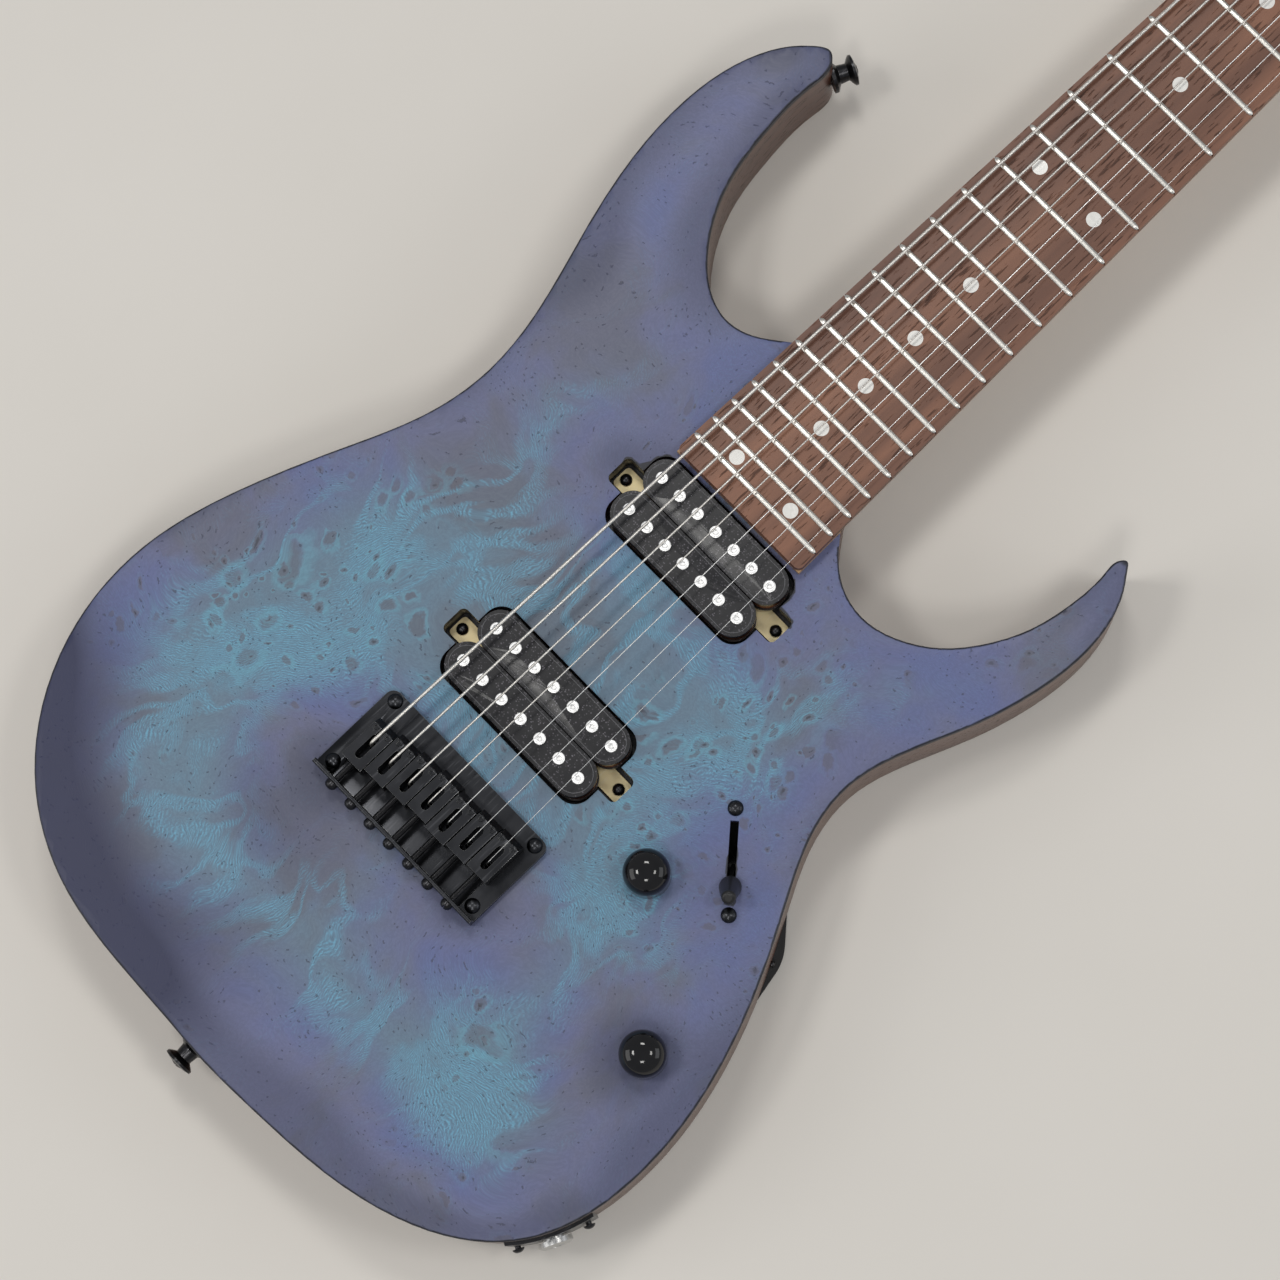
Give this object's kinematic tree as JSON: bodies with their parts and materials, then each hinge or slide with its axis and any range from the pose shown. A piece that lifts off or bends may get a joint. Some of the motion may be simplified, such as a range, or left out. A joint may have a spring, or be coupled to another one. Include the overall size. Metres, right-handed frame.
{
  "type": "electric guitar",
  "caption": "Solid-body electric guitar with a bolt-on neck, figured blue burl top, fixed string-through bridge, two double-coil pickups, two knobs and a lever selector.",
  "frame": {"origin": "on the body's flat back, under the middle of the saddle line", "axes": "+X along the neck towards the headstock, +Y towards the lowest string, +Z out of the body's top"},
  "size_m": [0.9792, 0.3151, 0.062],
  "materials": {
    "core_wood": "satin, dark stained brown wood",
    "figured_top": "satin, figured burl stained blue, darker towards the edge",
    "neck_wood": "satin maple",
    "fretboard_wood": "open pored, oiled",
    "fret_wire": "polished nickel silver",
    "pearl_white": "polished",
    "black_plastic": "satin",
    "black_chrome": "dark chrome, satin with fine scratches",
    "black_steel": "black plated",
    "steel": "zinc plated",
    "bobbin_black": "moulded black",
    "coil_copper": "enamelled copper wire",
    "pole_steel": "nickel plated",
    "brass": "plain sheet brass",
    "knob_black": "high gloss",
    "string_steel": "nickel wound and plain steel",
    "lead_grey": "cable sheath"
  },
  "bodies": {
    "root": {"body_core": "core_wood", "top_cap": "figured_top", "neck": "neck_wood", "truss_rod": "steel", "truss_rod_cover": "black_plastic", "fret_markers": "pearl_white", "fretboard": "fretboard_wood", "frets": "fret_wire", "nut": "black_plastic", "bridge_plate": "black_chrome", "top_screws": "black_chrome", "small_screws": "black_steel", "neck_screws": "black_steel", "string_ferrules": "black_steel", "pickup_bobbins": "bobbin_black", "pickup_coils": "coil_copper", "pickup_poles": "pole_steel", "pickup_bases": "brass", "pickup_screws": "black_steel", "pots": "steel", "selector_frame": "steel", "control_cover": "black_plastic", "jack_plate": "black_steel", "jack_socket": "steel", "strap_buttons": "black_steel", "tuner_housings": "black_steel", "tuner_bushings": "black_steel", "strings": "string_steel", "wiring": "lead_grey"},
    "saddle_1": {"saddle_1": "black_chrome"},
    "intonation_1": {"intonation_screw_1": "black_steel"},
    "saddle_2": {"saddle_2": "black_chrome"},
    "intonation_2": {"intonation_screw_2": "black_steel"},
    "saddle_3": {"saddle_3": "black_chrome"},
    "intonation_3": {"intonation_screw_3": "black_steel"},
    "saddle_4": {"saddle_4": "black_chrome"},
    "intonation_4": {"intonation_screw_4": "black_steel"},
    "saddle_5": {"saddle_5": "black_chrome"},
    "intonation_5": {"intonation_screw_5": "black_steel"},
    "saddle_6": {"saddle_6": "black_chrome"},
    "intonation_6": {"intonation_screw_6": "black_steel"},
    "saddle_7": {"saddle_7": "black_chrome"},
    "intonation_7": {"intonation_screw_7": "black_steel"},
    "tuner_button_1": {"tuner_button_1": "black_steel"},
    "tuner_post_1": {"tuner_post_1": "black_steel"},
    "tuner_button_2": {"tuner_button_2": "black_steel"},
    "tuner_post_2": {"tuner_post_2": "black_steel"},
    "tuner_button_3": {"tuner_button_3": "black_steel"},
    "tuner_post_3": {"tuner_post_3": "black_steel"},
    "tuner_button_4": {"tuner_button_4": "black_steel"},
    "tuner_post_4": {"tuner_post_4": "black_steel"},
    "tuner_button_5": {"tuner_button_5": "black_steel"},
    "tuner_post_5": {"tuner_post_5": "black_steel"},
    "tuner_button_6": {"tuner_button_6": "black_steel"},
    "tuner_post_6": {"tuner_post_6": "black_steel"},
    "tuner_button_7": {"tuner_button_7": "black_steel"},
    "tuner_post_7": {"tuner_post_7": "black_steel"},
    "volume_knob": {"volume_knob": "knob_black"},
    "tone_knob": {"tone_knob": "knob_black"},
    "selector_lever": {"selector_lever": "knob_black"}
  },
  "joints": [
    {"name": "intonation_1_turn", "type": "hinge", "parent": "root", "child": "intonation_1", "pos_m": [-0.036, 0.03262, 0.0522], "axis": [1, 0, 0], "range_deg": [-1081, 1081]},
    {"name": "saddle_1_slide", "type": "slide", "parent": "root", "child": "saddle_1", "axis": [1, 0, 0], "range_m": [-0.0015, 0.0015]},
    {"name": "intonation_2_turn", "type": "hinge", "parent": "root", "child": "intonation_2", "pos_m": [-0.036, 0.02174, 0.0522], "axis": [1, 0, 0], "range_deg": [-1081, 1081]},
    {"name": "saddle_2_slide", "type": "slide", "parent": "root", "child": "saddle_2", "axis": [1, 0, 0], "range_m": [-0.0015, 0.0015]},
    {"name": "intonation_3_turn", "type": "hinge", "parent": "root", "child": "intonation_3", "pos_m": [-0.036, 0.01086, 0.0522], "axis": [1, 0, 0], "range_deg": [-1081, 1081]},
    {"name": "saddle_3_slide", "type": "slide", "parent": "root", "child": "saddle_3", "axis": [1, 0, 0], "range_m": [-0.0015, 0.0015]},
    {"name": "intonation_4_turn", "type": "hinge", "parent": "root", "child": "intonation_4", "pos_m": [-0.036, 0, 0.0522], "axis": [1, 0, 0], "range_deg": [-1081, 1081]},
    {"name": "saddle_4_slide", "type": "slide", "parent": "root", "child": "saddle_4", "axis": [1, 0, 0], "range_m": [-0.0015, 0.0015]},
    {"name": "intonation_5_turn", "type": "hinge", "parent": "root", "child": "intonation_5", "pos_m": [-0.036, -0.01086, 0.0522], "axis": [1, 0, 0], "range_deg": [-1081, 1081]},
    {"name": "saddle_5_slide", "type": "slide", "parent": "root", "child": "saddle_5", "axis": [1, 0, 0], "range_m": [-0.0015, 0.0015]},
    {"name": "intonation_6_turn", "type": "hinge", "parent": "root", "child": "intonation_6", "pos_m": [-0.036, -0.02172, 0.0522], "axis": [1, 0, 0], "range_deg": [-1081, 1081]},
    {"name": "saddle_6_slide", "type": "slide", "parent": "root", "child": "saddle_6", "axis": [1, 0, 0], "range_m": [-0.0015, 0.0015]},
    {"name": "intonation_7_turn", "type": "hinge", "parent": "root", "child": "intonation_7", "pos_m": [-0.036, -0.03258, 0.0522], "axis": [1, 0, 0], "range_deg": [-1081, 1081]},
    {"name": "saddle_7_slide", "type": "slide", "parent": "root", "child": "saddle_7", "axis": [1, 0, 0], "range_m": [-0.0015, 0.0015]},
    {"name": "tuner_1_button", "type": "hinge", "parent": "root", "child": "tuner_button_1", "pos_m": [0.69643, 0.0258, 0.0222], "axis": [0, 1, 0], "continuous": true},
    {"name": "tuner_1_post", "type": "hinge", "parent": "root", "child": "tuner_post_1", "pos_m": [0.69261, 0.0258, 0.04243], "axis": [0.1392, 0, 0.9903], "continuous": true},
    {"name": "tuner_2_button", "type": "hinge", "parent": "root", "child": "tuner_button_2", "pos_m": [0.73208, 0.0222, 0.01719], "axis": [0, 1, 0], "continuous": true},
    {"name": "tuner_2_post", "type": "hinge", "parent": "root", "child": "tuner_post_2", "pos_m": [0.72826, 0.0222, 0.03742], "axis": [0.1392, 0, 0.9903], "continuous": true},
    {"name": "tuner_3_button", "type": "hinge", "parent": "root", "child": "tuner_button_3", "pos_m": [0.76773, 0.0186, 0.01218], "axis": [0, 1, 0], "continuous": true},
    {"name": "tuner_3_post", "type": "hinge", "parent": "root", "child": "tuner_post_3", "pos_m": [0.76391, 0.0186, 0.03241], "axis": [0.1392, 0, 0.9903], "continuous": true},
    {"name": "tuner_4_button", "type": "hinge", "parent": "root", "child": "tuner_button_4", "pos_m": [0.80338, 0.015, 0.00717], "axis": [0, 1, 0], "continuous": true},
    {"name": "tuner_4_post", "type": "hinge", "parent": "root", "child": "tuner_post_4", "pos_m": [0.79956, 0.015, 0.0274], "axis": [0.1392, 0, 0.9903], "continuous": true},
    {"name": "tuner_5_button", "type": "hinge", "parent": "root", "child": "tuner_button_5", "pos_m": [0.77249, -0.0168, 0.01152], "axis": [0, -1, 0], "continuous": true},
    {"name": "tuner_5_post", "type": "hinge", "parent": "root", "child": "tuner_post_5", "pos_m": [0.78173, -0.0168, 0.02991], "axis": [0.1392, 0, 0.9903], "continuous": true},
    {"name": "tuner_6_button", "type": "hinge", "parent": "root", "child": "tuner_button_6", "pos_m": [0.73684, -0.0204, 0.01653], "axis": [0, -1, 0], "continuous": true},
    {"name": "tuner_6_post", "type": "hinge", "parent": "root", "child": "tuner_post_6", "pos_m": [0.74609, -0.0204, 0.03492], "axis": [0.1392, 0, 0.9903], "continuous": true},
    {"name": "tuner_7_button", "type": "hinge", "parent": "root", "child": "tuner_button_7", "pos_m": [0.70119, -0.024, 0.02154], "axis": [0, -1, 0], "continuous": true},
    {"name": "tuner_7_post", "type": "hinge", "parent": "root", "child": "tuner_post_7", "pos_m": [0.71044, -0.024, 0.03993], "axis": [0.1392, 0, 0.9903], "continuous": true},
    {"name": "volume_turn", "type": "hinge", "parent": "root", "child": "volume_knob", "pos_m": [0.0282, -0.0778, 0.05], "axis": [0, 0, 1], "range_deg": [0, 300]},
    {"name": "tone_turn", "type": "hinge", "parent": "root", "child": "tone_knob", "pos_m": [-0.0212, -0.1269, 0.05], "axis": [0, 0, 1], "range_deg": [0, 300]},
    {"name": "selector_swing", "type": "hinge", "parent": "root", "child": "selector_lever", "pos_m": [0.0552, -0.097, 0.023], "axis": [-0.6712, 0.7413, 0], "range_deg": [0, 45]}
  ],
  "couplings": [
    {"joint": "intonation_1_turn", "follows": "saddle_1_slide", "rad_per_m": -12566},
    {"joint": "intonation_2_turn", "follows": "saddle_2_slide", "rad_per_m": -12566},
    {"joint": "intonation_3_turn", "follows": "saddle_3_slide", "rad_per_m": -12566},
    {"joint": "intonation_4_turn", "follows": "saddle_4_slide", "rad_per_m": -12566},
    {"joint": "intonation_5_turn", "follows": "saddle_5_slide", "rad_per_m": -12566},
    {"joint": "intonation_6_turn", "follows": "saddle_6_slide", "rad_per_m": -12566},
    {"joint": "intonation_7_turn", "follows": "saddle_7_slide", "rad_per_m": -12566},
    {"joint": "tuner_1_post", "follows": "tuner_1_button", "ratio": -0.066667},
    {"joint": "tuner_2_post", "follows": "tuner_2_button", "ratio": -0.066667},
    {"joint": "tuner_3_post", "follows": "tuner_3_button", "ratio": -0.066667},
    {"joint": "tuner_4_post", "follows": "tuner_4_button", "ratio": -0.066667},
    {"joint": "tuner_5_post", "follows": "tuner_5_button", "ratio": -0.066667},
    {"joint": "tuner_6_post", "follows": "tuner_6_button", "ratio": -0.066667},
    {"joint": "tuner_7_post", "follows": "tuner_7_button", "ratio": -0.066667}
  ]
}
